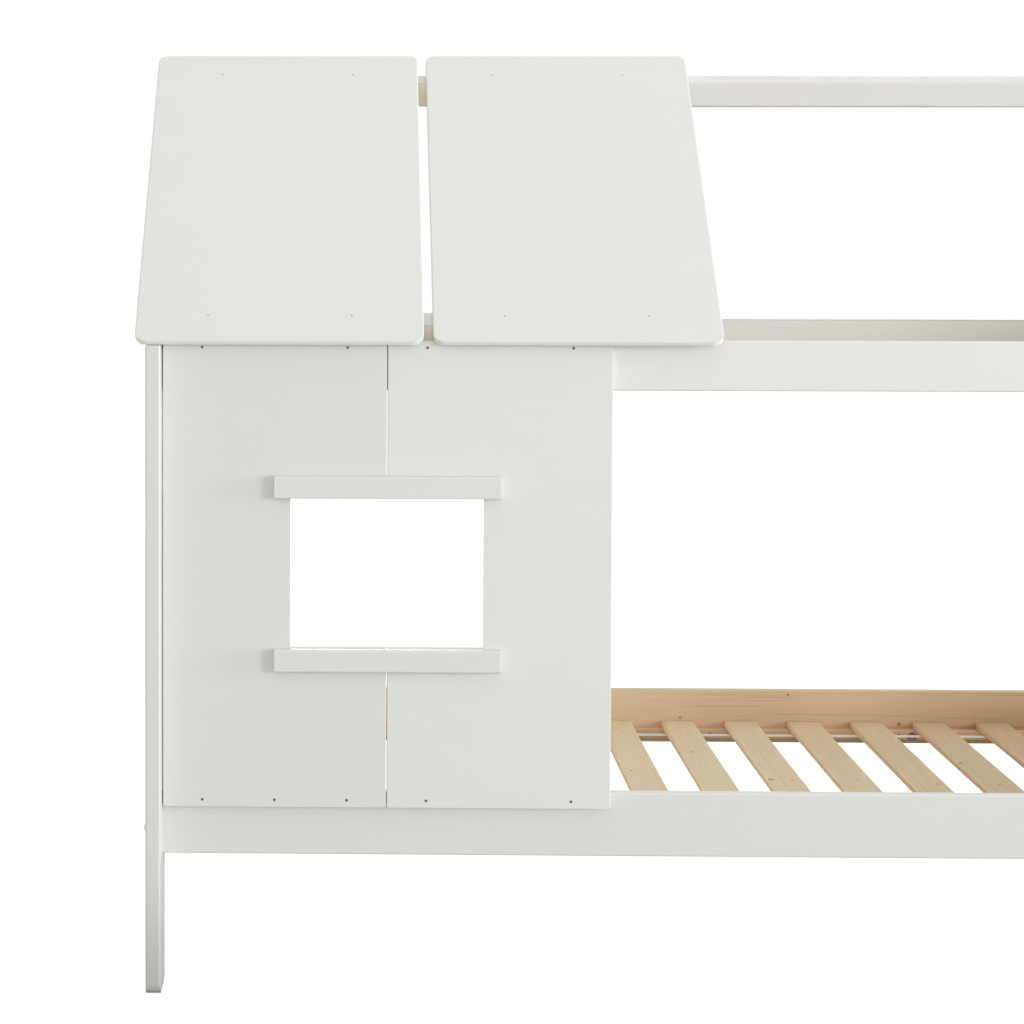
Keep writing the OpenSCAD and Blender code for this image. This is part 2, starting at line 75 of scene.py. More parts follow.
DAYLIGHT_FROM = (9.5, -1.4, 1.0)
DAYLIGHT_POWER = 1.13
DAYLIGHT_SPREAD = math.radians(13.0)
DAYLIGHT_COLOR = (1.0, 1.0, 1.04)
daylight_data = bpy.data.lights.new("daylight", "SUN")
daylight_data.energy = DAYLIGHT_POWER
daylight_data.angle = DAYLIGHT_SPREAD
daylight_data.color = DAYLIGHT_COLOR
daylight = bpy.data.objects.new("daylight", daylight_data)
daylight.matrix_world = Vector(DAYLIGHT_FROM).to_track_quat("Z", "Y").to_matrix().to_4x4()
scene.collection.objects.link(daylight)


def add(tree, kind, **settings):
    """A new shader node with the given settings."""
    node = tree.nodes.new("ShaderNode" + kind)
    for name, value in settings.items():
        setattr(node, name, value)
    return node


def feed(tree, socket, value):
    """Links a socket to another one, or sets its number, vector or colour."""
    if isinstance(value, bpy.types.NodeSocket):
        tree.links.new(value, socket)
    elif socket.type == "RGBA":
        socket.default_value = (*value, 1.0)
    else:
        socket.default_value = value


def calc(tree, operation, *terms):
    """A Math node on numbers or sockets; returns its result."""
    node = add(tree, "Math", operation=operation)
    for socket, term in zip(node.inputs, terms):
        feed(tree, socket, term)
    return node.outputs["Value"]


def mix(tree, amount, first, second, kind="MIX"):
    """Blends two colours."""
    node = add(tree, "Mix", data_type="RGBA", blend_type=kind)
    for socket, value in zip((node.inputs[0], node.inputs[6], node.inputs[7]), (amount, first, second)):
        feed(tree, socket, value)
    return node.outputs[2]


SURROUND_COLOR = (0.695, 0.69, 0.637)
WHITE = (1.0, 1.0, 1.0)
world = bpy.data.worlds.new("surround")
world.use_nodes = True
scene.world = world
tree = world.node_tree
ray = add(tree, "LightPath")
seen = calc(tree, "MAXIMUM", ray.outputs["Is Camera Ray"], ray.outputs["Is Glossy Ray"])
feed(tree, tree.nodes["Background"].inputs["Color"], mix(tree, seen, SURROUND_COLOR, WHITE))

FLOOR_SIDE = 60.0
FLOOR_GLOW = 0.85
FLOOR_SEEN = (0.34, 0.34, 0.34)
FLOOR_BOUNCE = (0.55, 0.54, 0.48)
FLOOR_ROUGHNESS = 0.9
TOUCHING = 0.0005
bpy.ops.object.select_all(action="DESELECT")
bpy.ops.mesh.primitive_plane_add(size=FLOOR_SIDE)
floor = bpy.context.object
floor.name = "floor"
floor_paint = bpy.data.materials.new("floor_paint")
floor_paint.use_nodes = True
tree = floor_paint.node_tree
shader = tree.nodes["Principled BSDF"]
shader.inputs["Roughness"].default_value = FLOOR_ROUGHNESS
shader.inputs["Specular IOR Level"].default_value = 0.0
shader.inputs["Emission Color"].default_value = (*WHITE, 1.0)
ray = add(tree, "LightPath")
feed(tree, shader.inputs["Base Color"], mix(tree, ray.outputs["Is Camera Ray"], FLOOR_BOUNCE, FLOOR_SEEN))
glow = calc(tree, "MULTIPLY", ray.outputs["Is Camera Ray"], FLOOR_GLOW)
feed(tree, shader.inputs["Emission Strength"], glow)
from_sole = calc(tree, "LESS_THAN", ray.outputs["Ray Length"], TOUCHING)
clear = calc(tree, "MAXIMUM", add(tree, "NewGeometry").outputs["Backfacing"], from_sole)
floor_surface = add(tree, "MixShader")
feed(tree, floor_surface.inputs[0], clear)
tree.links.new(shader.outputs["BSDF"], floor_surface.inputs[1])
tree.links.new(add(tree, "BsdfTransparent").outputs["BSDF"], floor_surface.inputs[2])
tree.links.new(floor_surface.outputs["Shader"], tree.nodes["Material Output"].inputs["Surface"])
floor.data.materials.append(floor_paint)


# Legs. Four upright pine boards with eased edges and round feet, rolled with satin white paint, a little
# darker than the frame's as painted shade.
# Towards the floor each leg is painted darker as painted shade, and its lowest centimetre olive as painted
# floor shade.
def effect(name, inputs, outputs):
    """A shader node group with named sockets; returns its tree, its input and its output sockets."""
    tree = bpy.data.node_groups.new(name, "ShaderNodeTree")
    for label, kind, value in inputs:
        socket = tree.interface.new_socket(label, in_out="INPUT", socket_type="NodeSocket" + kind)
        socket.default_value = value
    for label, kind in outputs:
        tree.interface.new_socket(label, in_out="OUTPUT", socket_type="NodeSocket" + kind)
    return tree, tree.nodes.new("NodeGroupInput").outputs, tree.nodes.new("NodeGroupOutput").inputs


def use(tree, group, **values):
    """Places a node group and feeds its inputs, with _ for a space in a name; returns its outputs."""
    node = add(tree, "Group", node_tree=group)
    for label, value in values.items():
        feed(tree, node.inputs[label.replace("_", " ")], value)
    return node.outputs


def shift(tree, operation, *terms):
    """A Vector Math node on vectors or sockets; returns its vector."""
    node = add(tree, "VectorMath", operation=operation)
    for socket, term in zip(node.inputs, terms):
        feed(tree, socket, term)
    return node.outputs["Vector"]


def axes(tree, place):
    """The three numbers of a place or another vector."""
    split = add(tree, "SeparateXYZ")
    feed(tree, split.inputs["Vector"], place)
    return split.outputs["X"], split.outputs["Y"], split.outputs["Z"]


def vector(tree, *terms):
    """A vector of three numbers or sockets."""
    merge = add(tree, "CombineXYZ")
    for socket, term in zip(merge.inputs, terms):
        feed(tree, socket, term)
    return merge.outputs["Vector"]


def ramp(tree, value, start, end, low=0.0, high=1.0):
    """Runs smoothly from low to high while value runs from start to end."""
    node = add(tree, "MapRange", interpolation_type="SMOOTHSTEP")
    for socket, term in zip(node.inputs, (value, start, end, low, high)):
        feed(tree, socket, term)
    return node.outputs["Result"]


def noise(tree, place, density, detail=2.0):
    """Noise about 0.5, with so many features a metre along each axis."""
    node = add(tree, "TexNoise")
    node.inputs["Scale"].default_value = 1.0
    node.inputs["Detail"].default_value = detail
    feed(tree, node.inputs["Vector"], shift(tree, "MULTIPLY", place, density))
    return node.outputs["Fac"]


def tinted(tree, color, tint):
    """A colour times a tint."""
    return mix(tree, 1.0, color, tint, "MULTIPLY")


def board_place(tree, order):
    """The point of the piece in metres: X along its grain, Y across its wide face, Z through it."""
    point = dict(zip("XYZ", axes(tree, add(tree, "TexCoord").outputs["Object"])))
    return vector(tree, *(point[axis] for axis in order))


def finish(name):
    """A new finish; returns it with its node tree and its shader."""
    material = bpy.data.materials.new(name)
    material.use_nodes = True
    return material, material.node_tree, material.node_tree.nodes["Principled BSDF"]


def surface(tree, shader, color, roughness, height):
    """Feeds a shader its colour, its roughness and a relief whose height is in metres."""
    bump = add(tree, "Bump")
    bump.inputs["Distance"].default_value = 1.0
    feed(tree, bump.inputs["Height"], height)
    feed(tree, shader.inputs["Base Color"], color)
    feed(tree, shader.inputs["Roughness"], roughness)
    feed(tree, shader.inputs["Normal"], bump.outputs["Normal"])


def dress(names, material):
    """Gives CAD nodes one finish."""
    for name in names:
        slots = nodes[name].data.materials
        slots.clear()
        slots.append(material)


GREENER = (0.985, 1.0, 0.98)
REDDER = (1.0, 0.992, 0.99)
GRAIN_RELIEF = 3.0e-5
STIPPLE_RELIEF = 1.6e-5
WAVE_RELIEF = 5.0e-5
rolled_paint, ins, outs = effect(
    "rolled_paint",
    [
        ("Place", "Vector", (0.0, 0.0, 0.0)),
        ("Paint", "Color", (0.8, 0.8, 0.8, 1.0)),
        ("Grain", "Float", 1.0),
    ],
    [("Color", "Color"), ("Roughness", "Float"), ("Height", "Float")],
)
tree = rolled_paint
drift = noise(tree, ins["Place"], (2.2, 9.0, 9.0), 3.0)
tint = mix(tree, ramp(tree, drift, 0.35, 0.65), GREENER, REDDER)
grain = noise(tree, ins["Place"], (3.5, 240.0, 240.0), 3.0)
stipple = noise(tree, ins["Place"], (650.0, 650.0, 650.0))
waves = noise(tree, ins["Place"], (85.0, 85.0, 85.0))
grain_height = calc(tree, "MULTIPLY", calc(tree, "MULTIPLY", grain, ins["Grain"]), GRAIN_RELIEF)
skin_height = calc(tree, "ADD", calc(tree, "MULTIPLY", stipple, STIPPLE_RELIEF),
                   calc(tree, "MULTIPLY", waves, WAVE_RELIEF))
feed(tree, outs["Color"], tinted(tree, ins["Paint"], tint))
feed(tree, outs["Roughness"], ramp(tree, waves, 0.2, 0.8, 0.33, 0.47))
feed(tree, outs["Height"], calc(tree, "ADD", grain_height, skin_height))

FRAME_WHITE = (0.748, 0.751, 0.742)
# The legs' white is the frame's white made darker, as painted shade.
LEG_SHADED_WHITE = (0.726, 0.729, 0.720)
SOLE_SHADE_OLIVE = (0.40, 0.39, 0.30)
LEG_FLOOR_SHADE = (0.71, 0.71, 0.705)
LEG_FLOOR_SHADE_HEIGHT = 0.26
SOLE_SHADE_BAND = (0.002, 0.011)
corners = [f"{side}_{end}" for side in ("front", "rear") for end in ("left", "right")]
leg_paint, tree, shader = finish("leg_paint")
place = board_place(tree, "ZYX")
paint = use(tree, rolled_paint, Place=place, Paint=LEG_SHADED_WHITE)
above_floor = axes(tree, place)[0]
# Painted shade: the paint grows darker towards the floor and turns olive on the lowest centimetre.
floor_shade = mix(tree, ramp(tree, above_floor, 0.0, LEG_FLOOR_SHADE_HEIGHT, 1.0, 0.0), WHITE, LEG_FLOOR_SHADE)
sole = ramp(tree, above_floor, *SOLE_SHADE_BAND, 1.0, 0.0)
color = mix(tree, sole, tinted(tree, paint["Color"], floor_shade), SOLE_SHADE_OLIVE)
surface(tree, shader, color, paint["Roughness"], paint["Height"])
dress([f"leg_{corner}" for corner in corners], leg_paint)


# End frames. An end rail and a gable tie lie across between the legs, and two rafters rise from the
# legs to the ridge beam, all of the same pine and with the same rolled paint, glued on dowels.
def frame_paint(name, order):
    """Rolled paint on solid wood whose grain runs as the order of its axes says."""
    material, tree, shader = finish(name)
    paint = use(tree, rolled_paint, Place=board_place(tree, order), Paint=FRAME_WHITE)
    surface(tree, shader, paint["Color"], paint["Roughness"], paint["Height"])
    return material


crossrail_paint = frame_paint("crossrail_paint", "YZX")
dress([f"end_rail_{end}" for end in ("left", "right")], crossrail_paint)
dress([f"gable_tie_{end}" for end in ("left", "right")], crossrail_paint)

rafter_paint, tree, shader = finish("rafter_paint")
x, y, z = axes(tree, add(tree, "TexCoord").outputs["Object"])
from_middle = calc(tree, "ABSOLUTE", y)
up_slope = calc(tree, "MULTIPLY", calc(tree, "SUBTRACT", z, from_middle), math.sqrt(0.5))
off_slope = calc(tree, "MULTIPLY", calc(tree, "ADD", z, from_middle), math.sqrt(0.5))
paint = use(tree, rolled_paint, Place=vector(tree, up_slope, off_slope, x), Paint=FRAME_WHITE)
surface(tree, shader, paint["Color"], paint["Roughness"], paint["Height"])
dress([f"rafter_{corner}" for corner in corners], rafter_paint)


# Side rails. Planed pine boards, rolled white outside and over their edges, and the rear one's upper
# edge coloured a darker cream. Their inner faces, which the mattress hides, are left bare, paler at the left
# end and browner at the right one, partly the wood's own tone and partly painted shade, with growth rings,
# streaks and knots.
def diagonal(tree, first, second):
    """The length of the diagonal of two sides."""
    squares = calc(tree, "MULTIPLY", first, first), calc(tree, "MULTIPLY", second, second)
    return calc(tree, "SQRT", calc(tree, "ADD", *squares))


RIM_SHARE = 0.4
BEND_SHARE = 1.3
BEND_FADE = 0.18
knot, ins, outs = effect(
    "knot",
    [
        ("Place", "Vector", (0.0, 0.0, 0.0)),
        ("Center", "Vector", (0.0, 0.0, 0.0)),
        ("Radius", "Float", 0.004),
    ],
    [("Core", "Float"), ("Bend", "Float")],
)
tree = knot
along, across = axes(tree, shift(tree, "SUBTRACT", ins["Place"], ins["Center"]))[:2]
reach = diagonal(tree, along, across)
rough_edge = ramp(tree, noise(tree, ins["Place"], (150.0, 150.0, 150.0)), 0.2, 0.8, 0.8, 1.2)
share = calc(tree, "DIVIDE", calc(tree, "MULTIPLY", reach, rough_edge), ins["Radius"])
inside = ramp(tree, share, 0.6, 1.25, 1.0, 0.0)
rim = calc(tree, "MULTIPLY", ramp(tree, share, 0.45, 0.85), inside)
fading = calc(tree, "EXPONENT", calc(tree, "MULTIPLY", calc(tree, "MULTIPLY", share, share), -BEND_FADE))
darkness = calc(tree, "ADD", calc(tree, "MULTIPLY", inside, 1.0 - RIM_SHARE),
                calc(tree, "MULTIPLY", rim, RIM_SHARE))
feed(tree, outs["Core"], darkness)
feed(tree, outs["Bend"], calc(tree, "MULTIPLY", calc(tree, "MULTIPLY", ins["Radius"], fading), BEND_SHARE))

SEED_STEP = 3.7
KNOT_CELL = (0.34, 0.11)
KNOT_SHARE = 0.55
KNOT_SMALLEST = 0.0012
KNOT_SPREAD = 0.0032
KNOT_NONE = 0.0001
KNOT_BROWN = (0.36, 0.20, 0.11)
KNOT_RIM = (0.15, 0.08, 0.05)
RING_WIDTH = 0.0032
RING_CONTRAST = 0.55
RING_RIPPLE = 0.0028
LOG_SWAY = 0.07
LOG_DIP = 0.06
BLUSH = (1.03, 0.955, 0.94)
OLIVE = (0.985, 1.0, 0.94)
DARK_STREAK = (0.88, 0.82, 0.76)
FIBRE_DARK = (0.90, 0.89, 0.87)
FIBRE_PALE = (1.08, 1.09, 1.11)
DUCT_BROWN = (0.45, 0.29, 0.17)
DUCT_SHARE = 0.35
LATE_RELIEF = 2.5e-5
FIBRE_RELIEF = 4.0e-5
planed_pine, ins, outs = effect(
    "planed_pine",
    [
        ("Place", "Vector", (0.0, 0.0, 0.0)),
        ("Pith", "Vector", (0.0, 0.0, -0.05)),
        ("Seed", "Float", 0.0),
        ("Early Wood", "Color", (0.78, 0.63, 0.43, 1.0)),
        ("Late Wood", "Color", (0.62, 0.42, 0.24, 1.0)),
        ("Streak", "Float", 0.5),
        ("Core", "Float", 0.0),
        ("Bend", "Float", 0.0),
    ],
    [("Color", "Color"), ("Roughness", "Float"), ("Height", "Float")],
)
tree = planed_pine
seed_shift = calc(tree, "MULTIPLY", ins["Seed"], SEED_STEP)
seeded = shift(tree, "ADD", ins["Place"], vector(tree, seed_shift, 0.0, 0.0))
cell_place = shift(tree, "MULTIPLY", seeded, (1.0 / KNOT_CELL[0], 1.0 / KNOT_CELL[1], 0.0))
cells = add(tree, "TexVoronoi", voronoi_dimensions="2D")
cells.inputs["Scale"].default_value = 1.0
feed(tree, cells.inputs["Vector"], cell_place)
knot_spot = shift(tree, "MULTIPLY", cells.outputs["Position"], (*KNOT_CELL, 0.0))
chance, size = axes(tree, cells.outputs["Color"])[:2]
knot_radius = calc(tree, "MULTIPLY", calc(tree, "GREATER_THAN", chance, 1.0 - KNOT_SHARE),
                   calc(tree, "MULTIPLY_ADD", size, KNOT_SPREAD, KNOT_SMALLEST))
knot_radius = calc(tree, "MAXIMUM", knot_radius, KNOT_NONE)
flat_place = shift(tree, "MULTIPLY", seeded, (1.0, 1.0, 0.0))
grown = use(tree, knot, Place=flat_place, Center=knot_spot, Radius=knot_radius)
core = calc(tree, "MAXIMUM", grown["Core"], ins["Core"])
bend = calc(tree, "ADD", grown["Bend"], ins["Bend"])

across, through = axes(tree, shift(tree, "SUBTRACT", ins["Place"], ins["Pith"]))[1:]
sway = calc(tree, "MULTIPLY_ADD", noise(tree, seeded, (1.6, 1.0, 1.0), 3.0), LOG_SWAY, -LOG_SWAY / 2.0)
dip = calc(tree, "MULTIPLY_ADD", noise(tree, seeded, (1.1, 2.0, 2.0)), LOG_DIP, -LOG_DIP / 2.0)
radius = diagonal(tree, calc(tree, "ADD", across, sway), calc(tree, "ADD", through, dip))
ripple = calc(tree, "MULTIPLY", noise(tree, seeded, (9.0, 60.0, 60.0), 3.0), RING_RIPPLE)
grown_radius = calc(tree, "ADD", calc(tree, "ADD", radius, ripple), bend)
rings = calc(tree, "FRACT", calc(tree, "DIVIDE", grown_radius, RING_WIDTH))
late = calc(tree, "MULTIPLY", ramp(tree, rings, 0.25, 0.86), ramp(tree, rings, 0.90, 1.0, 1.0, 0.0))
uneven = ramp(tree, noise(tree, seeded, (2.6, 34.0, 34.0)), 0.3, 0.7, 0.35, 1.0)
figure = calc(tree, "MULTIPLY", calc(tree, "MULTIPLY", late, uneven), RING_CONTRAST)

fibres = noise(tree, seeded, (22.0, 1100.0, 1100.0), 3.0)
ducts = ramp(tree, noise(tree, seeded, (55.0, 1500.0, 1500.0), 1.0), 0.70, 0.76)
blush = ramp(tree, noise(tree, seeded, (1.8, 16.0, 16.0)), 0.35, 0.65)
olive = ramp(tree, noise(tree, seeded, (2.3, 22.0, 22.0)), 0.45, 0.75)
streaks = ramp(tree, noise(tree, seeded, (2.2, 130.0, 130.0), 3.0), 0.54, 0.68)
streaks = calc(tree, "MULTIPLY", streaks, ins["Streak"])
wood = mix(tree, figure, ins["Early Wood"], ins["Late Wood"])
wood = mix(tree, blush, wood, tinted(tree, wood, BLUSH))
wood = mix(tree, olive, wood, tinted(tree, wood, OLIVE))
wood = mix(tree, streaks, wood, tinted(tree, wood, DARK_STREAK))
wood = tinted(tree, wood, mix(tree, fibres, FIBRE_DARK, FIBRE_PALE))
wood = mix(tree, calc(tree, "MULTIPLY", ducts, DUCT_SHARE), wood, DUCT_BROWN)
knot_color = mix(tree, ramp(tree, core, 0.6, 0.95), KNOT_BROWN, KNOT_RIM)
feed(tree, outs["Color"], mix(tree, ramp(tree, core, 0.05, 0.55), wood, knot_color))
feed(tree, outs["Roughness"], ramp(tree, late, 0.0, 1.0, 0.66, 0.5))
feed(tree, outs["Height"], calc(tree, "ADD", calc(tree, "MULTIPLY", late, LATE_RELIEF),
                                calc(tree, "MULTIPLY", fibres, FIBRE_RELIEF)))


def knots_at(tree, place, marks):
    """Knots of given radius at places along and across a board; returns their core and bend."""
    core, bend = 0.0, 0.0
    for along, across, radius in marks:
        flat = shift(tree, "MULTIPLY", place, (1.0, 1.0, 0.0))
        mark = use(tree, knot, Place=flat, Center=(along, across, 0.0), Radius=radius)
        core = calc(tree, "MAXIMUM", mark["Core"], core)
        bend = calc(tree, "ADD", mark["Bend"], bend)
    return core, bend


INNER_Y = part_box("side_rail_rear")[0].y
RAIL_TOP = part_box("side_rail_rear")[1].z
BARE_REACH = 0.0012
BARE_WANDER = 0.0012
BARE_FADE = 0.0005
BARE_ROUGHER = 0.15
RAIL_EARLY = (0.59, 0.437, 0.291)
RAIL_LATE = (0.55, 0.358, 0.223)
RAIL_PALE_LIT = (1.26, 1.43, 1.50)
RAIL_MIDDLE = (1.12, 1.13, 1.09)
RAIL_BROWN_AND_SHADE = (0.87, 0.82, 0.70)
RAIL_LOWER = (0.97, 0.91, 0.90)
PALE_TO_MIDDLE = (-0.15, 0.22)
MIDDLE_TO_BROWN = (0.25, 0.80)
LOWER_BAND = (0.050, 0.020)
EDGE_BAND = (0.0035, 0.0015)
CREAM_EDGE = (0.50, 0.48, 0.40)
REAR_RAIL_KNOTS = [
    (0.057, 0.297, 0.003),
    (0.291, 0.348, 0.003),
    (0.532, 0.285, 0.004),
]


def side_rail_finish(name, pith, seed, marks, edge_color):
    """Rolled paint outside, a colour of its own on the upper edge, and bare pine on the inner face."""
    material, tree, shader = finish(name)
    place = board_place(tree, "XZY")
    along, height, across = axes(tree, place)
    upper = ramp(tree, height, *(RAIL_TOP - below for below in EDGE_BAND))
    paint = use(tree, rolled_paint, Place=place, Paint=mix(tree, upper, FRAME_WHITE, edge_color))
    core, bend = knots_at(tree, place, marks)
    pine = use(tree, planed_pine, Place=place, Pith=pith, Seed=seed, Early_Wood=RAIL_EARLY,
               Late_Wood=RAIL_LATE, Streak=1.0, Core=core, Bend=bend)
    # Partly the wood's own tone and partly painted shade: the bare face is paler at the left end and browner
    # towards the right.
    tone = mix(tree, ramp(tree, along, *PALE_TO_MIDDLE), RAIL_PALE_LIT, RAIL_MIDDLE)
    tone = mix(tree, ramp(tree, along, *MIDDLE_TO_BROWN), tone, RAIL_BROWN_AND_SHADE)
    pinker = ramp(tree, height, *(RAIL_TOP - below for below in LOWER_BAND), 1.0, 0.0)
    tone = mix(tree, pinker, tone, tinted(tree, tone, RAIL_LOWER))
    wander = calc(tree, "MULTIPLY_ADD", noise(tree, place, (25.0, 25.0, 25.0), 3.0), BARE_WANDER,
                  INNER_Y + BARE_REACH)
    past_edge = calc(tree, "SUBTRACT", calc(tree, "ABSOLUTE", across), wander)
    bare = ramp(tree, past_edge, -BARE_FADE, 0.0, 1.0, 0.0)
    color = mix(tree, bare, paint["Color"], tinted(tree, pine["Color"], tone))
    roughness = calc(tree, "MULTIPLY_ADD", bare, BARE_ROUGHER, paint["Roughness"])
    surface(tree, shader, color, roughness, calc(tree, "ADD", paint["Height"], pine["Height"]))
    return material


rear_rail_finish = side_rail_finish("rear_rail_finish", (0.0, 0.27, 0.52), 1.0, REAR_RAIL_KNOTS, CREAM_EDGE)
front_rail_finish = side_rail_finish("front_rail_finish", (0.0, 0.33, -0.51), 2.0, [], FRAME_WHITE)
dress(["side_rail_rear"], rear_rail_finish)
dress(["side_rail_front"], front_rail_finish)

# Eaves beams. Solid pine like the rails, rolled white outside, a little lighter than the frame's as painted
# light. Inside, and over the rear one's upper edge, they got one thin coat only, and the wood's warm tone
# comes through; towards the right end the coat is painted darker as painted shade.
EAVES_LIT_WHITE = (0.788, 0.791, 0.786)
THIN_COAT = (0.832, 0.812, 0.775)
THIN_COAT_FAR_SHADED = (0.573, 0.541, 0.485)
EDGE_SHADE = (0.78, 0.79, 0.77)
PATCH_GREENER = (0.97, 1.02, 0.98)
PATCH_REDDER = (1.03, 0.97, 1.0)
COAT_CHANGE = (0.15, 0.95)
INSIDE_BAND = (0.006, 0.0045)
BEAM_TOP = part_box("eaves_beam_rear")[1].z
eaves_finish, tree, shader = finish("eaves_finish")
place = board_place(tree, "XZY")
along, height, across = axes(tree, place)
# The eaves white is lighter than the frame's, as painted light.
paint = use(tree, rolled_paint, Place=place, Paint=EAVES_LIT_WHITE)
inside = ramp(tree, calc(tree, "ABSOLUTE", across), *(INNER_Y - short for short in INSIDE_BAND), 1.0, 0.0)
patches = noise(tree, place, (7.0, 30.0, 30.0), 3.0)
# Painted shade: the thin coat grows darker towards the right end.
coat = mix(tree, ramp(tree, along, *COAT_CHANGE), THIN_COAT, THIN_COAT_FAR_SHADED)
coat = tinted(tree, coat, mix(tree, patches, PATCH_GREENER, PATCH_REDDER))
upper = calc(tree, "MULTIPLY", ramp(tree, height, *(BEAM_TOP - below for below in EDGE_BAND)),
             calc(tree, "GREATER_THAN", across, 0.0))
coat = mix(tree, upper, coat, tinted(tree, coat, EDGE_SHADE))
coated = calc(tree, "MAXIMUM", inside, upper)
surface(tree, shader, mix(tree, coated, paint["Color"], coat), paint["Roughness"], paint["Height"])
dress(["eaves_beam_front", "eaves_beam_rear"], eaves_finish)

# Ridge beam and roof batten. Pine strips with a bevel that carries the roof boards, rolled white over all.
# The bevel is painted lighter and bluer than the front faces as painted light, and between the roof boards
# their front faces are painted yellower as painted shade.
SLOPE = Vector((0.0, -math.sqrt(0.5), math.sqrt(0.5)))
ROOF_GAP = (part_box("roof_board_left")[1].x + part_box("roof_board_right")[0].x) / 2.0
RIDGE_BEVEL_LIT = (0.738, 0.735, 0.752)
RIDGE_FACE_SHADED = (0.72, 0.709, 0.706)
GAP_SHADE_COLOR = (0.92, 0.86, 0.69)
GAP_SHADE_BAND = (0.02, 0.09)
BEVEL_BAND = (0.0035, 0.001)
COAT_GREENER = (0.985, 1.0, 0.97)
COAT_REDDER = (1.01, 0.985, 0.985)


def along_line(tree, place, line):
    """How far a place or another vector reaches along a line of length one."""
    dot = add(tree, "VectorMath", operation="DOT_PRODUCT")
    feed(tree, dot.inputs[0], place)
    feed(tree, dot.inputs[1], line)
    return dot.outputs["Value"]


bearing = max(vertex.co.dot(SLOPE) for vertex in nodes["ridge_beam"].data.vertices)
ridge_paint, tree, shader = finish("ridge_paint")
point = add(tree, "TexCoord").outputs["Object"]
place = board_place(tree, "XZY")
off_gap = calc(tree, "ABSOLUTE", calc(tree, "SUBTRACT", axes(tree, point)[0], ROOF_GAP))
front_face = ramp(tree, axes(tree, add(tree, "TexCoord").outputs["Normal"])[1], -0.95, -0.8, 1.0, 0.0)
gap_shade = calc(tree, "MULTIPLY", ramp(tree, off_gap, *GAP_SHADE_BAND, 1.0, 0.0), front_face)
face = ramp(tree, along_line(tree, point, SLOPE), *(bearing - below for below in BEVEL_BAND), 1.0, 0.0)
# Painted light and shade: a lighter bevel, a darker front face, and yellower front faces in the gap between
# the roof boards.
white = mix(tree, face, RIDGE_BEVEL_LIT, mix(tree, gap_shade, RIDGE_FACE_SHADED, GAP_SHADE_COLOR))
patches = noise(tree, place, (9.0, 40.0, 40.0), 3.0)
patchy = mix(tree, ramp(tree, patches, 0.4, 0.6), COAT_GREENER, COAT_REDDER)
paint = use(tree, rolled_paint, Place=place, Paint=tinted(tree, white, patchy))
surface(tree, shader, paint["Color"], paint["Roughness"], paint["Height"])
dress(["ridge_beam", "roof_batten"], ridge_paint)

# Roof boards and wall panels. Smooth board, sawn and rounded at the corners, sprayed with a fine matt
# white. The cut edges drink the paint, so they are rougher; the roof boards' cut edges are painted whiter as
# painted light from the floor below, and the right wall panel is painted lighter than the left one as
# painted light.
ROOF_WHITE = (0.742, 0.745, 0.739)
ROOF_EDGE_LIT_WHITE = (0.86, 0.86, 0.84)
OUT_OF_WALL = (0.0, -1.0, 0.0)
LEFT_WALL_WHITE = (0.744, 0.746, 0.738)
RIGHT_WALL_LIT_WHITE = (0.773, 0.776, 0.769)
FUZZ_RELIEF = 6.0e-5


def board_paint(name, outward, white, lit_edge_white):
    """Sprayed matt paint on smooth board whose wide faces look along outward, and on its cut edges, which
    can take a lighter white as painted light.
    """
    material, tree, shader = finish(name)
    point = add(tree, "TexCoord")
    place = point.outputs["Object"]
    facing = calc(tree, "ABSOLUTE", along_line(tree, point.outputs["Normal"], outward))
    cut = ramp(tree, facing, 0.3, 0.8, 1.0, 0.0)
    paint = use(tree, rolled_paint, Place=place, Paint=mix(tree, cut, white, lit_edge_white), Grain=0.0)
    fuzz = noise(tree, place, (420.0, 420.0, 420.0), 3.0)
    roughness = calc(tree, "ADD", paint["Roughness"], ramp(tree, cut, 0.0, 1.0, 0.1, 0.22))
    fuzz_height = calc(tree, "MULTIPLY", calc(tree, "MULTIPLY", fuzz, cut), FUZZ_RELIEF)
    surface(tree, shader, paint["Color"], roughness, calc(tree, "ADD", paint["Height"], fuzz_height))
    return material


# Painted light: the roof boards' cut edges and the whole right wall panel are whiter.
roof_paint = board_paint("roof_paint", SLOPE, ROOF_WHITE, ROOF_EDGE_LIT_WHITE)
left_wall_paint = board_paint("left_wall_paint", OUT_OF_WALL, LEFT_WALL_WHITE, LEFT_WALL_WHITE)
right_wall_paint = board_paint("right_wall_paint", OUT_OF_WALL, RIGHT_WALL_LIT_WHITE, RIGHT_WALL_LIT_WHITE)
dress(["roof_board_left", "roof_board_right"], roof_paint)
dress(["wall_panel_left"], left_wall_paint)
dress(["wall_panel_right"], right_wall_paint)

# Window trims. Two solid strips with eased edges, screwed on above and below the window from behind
# and painted like the boards.
dress(["window_head_trim", "window_sill_trim"], frame_paint("trim_paint", "XZY"))

# Slat cleats. Square pine strips, left bare, screwed along the inside of the side rails.
# The slats rest on them.
CLEAT_EARLY = (0.75, 0.52, 0.33)
CLEAT_LATE = (0.60, 0.37, 0.21)
CLEAT_KNOTS = [(0.556, 0.262, 0.010)]


def bare_pine(name, order, pith, seed, early, late, marks):
    """Bare planed pine with its own rings and knots; returns the finish, its tree, shader and wood."""
    material, tree, shader = finish(name)
    place = board_place(tree, order)
    core, bend = knots_at(tree, place, marks)
    pine = use(tree, planed_pine, Place=place, Pith=pith, Seed=seed, Early_Wood=early, Late_Wood=late,
               Core=core, Bend=bend)
    return material, tree, shader, pine


cleat_pine, tree, shader, pine = bare_pine(
    "cleat_pine", "XZY", (0.0, 0.25, 0.41), 3.0, CLEAT_EARLY, CLEAT_LATE, CLEAT_KNOTS
)
surface(tree, shader, pine["Color"], pine["Roughness"], pine["Height"])
dress(["slat_cleat_front", "slat_cleat_rear"], cleat_pine)
